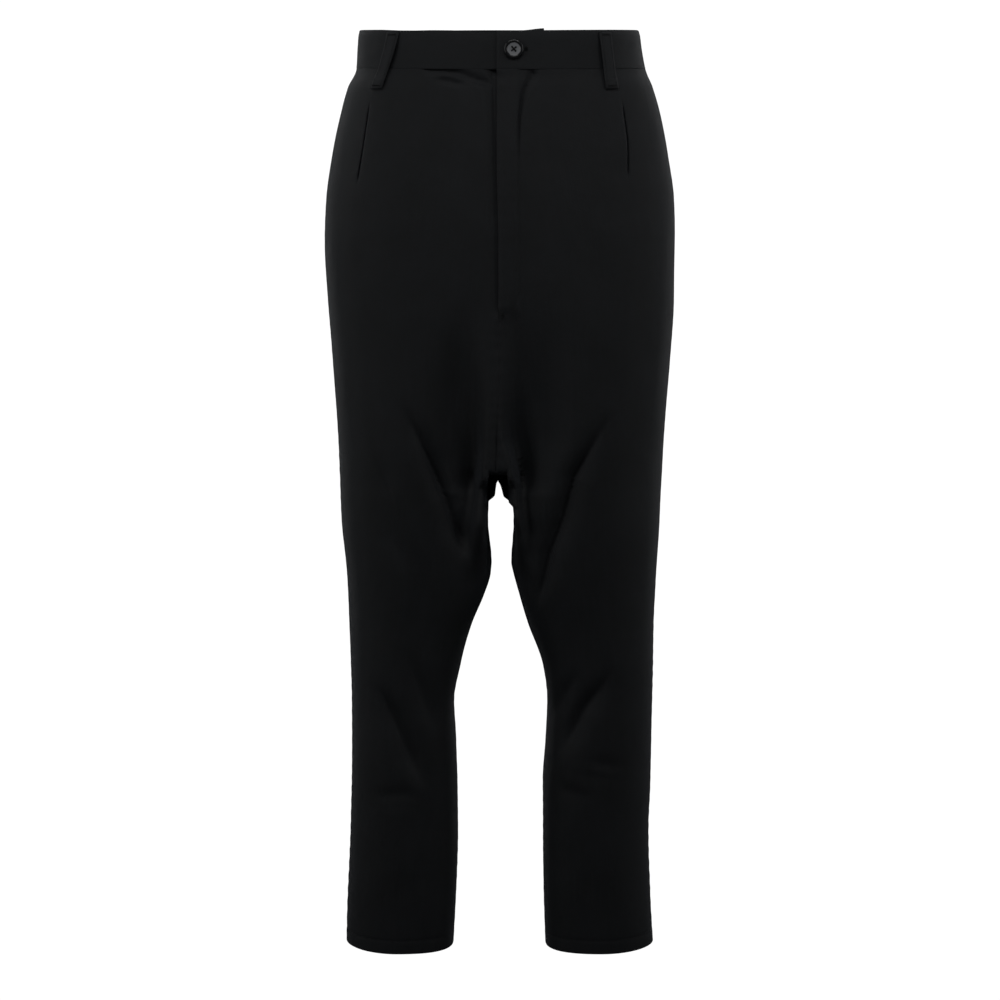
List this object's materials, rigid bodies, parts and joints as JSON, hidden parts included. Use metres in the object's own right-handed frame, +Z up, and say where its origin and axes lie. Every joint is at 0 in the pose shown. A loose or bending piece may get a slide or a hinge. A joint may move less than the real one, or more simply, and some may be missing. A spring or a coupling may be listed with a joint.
{
  "type": "drop-crotch harem trousers",
  "caption": "Drop-crotch tailored trousers in plain black twill, filled out as worn: fitted waistband with button and fly, tucked front, slim cropped legs, open waist and hems.",
  "frame": {"origin": "middle of the waistband's ring, at half the band's height, which is where the wearer holds the garment", "axes": "+Z up to the waist, -Y the garment's front, +X the wearer's left"},
  "size_m": [0.3729, 0.2468, 0.9898],
  "materials": {
    "black_twill": "matt, with a faint sheen at grazing angles",
    "dark_button": "satin"
  },
  "bodies": {
    "root": {"front_right": "black_twill", "front_left": "black_twill", "back_right": "black_twill", "back_left": "black_twill", "waistband_right": "black_twill", "waistband_left": "black_twill", "fly_shield": "black_twill", "belt_loop_front_right": "black_twill", "belt_loop_front_left": "black_twill", "belt_loop_back_right": "black_twill", "belt_loop_back_left": "black_twill", "belt_loop_centre_back": "black_twill", "button": "dark_button"}
  },
  "joints": []
}
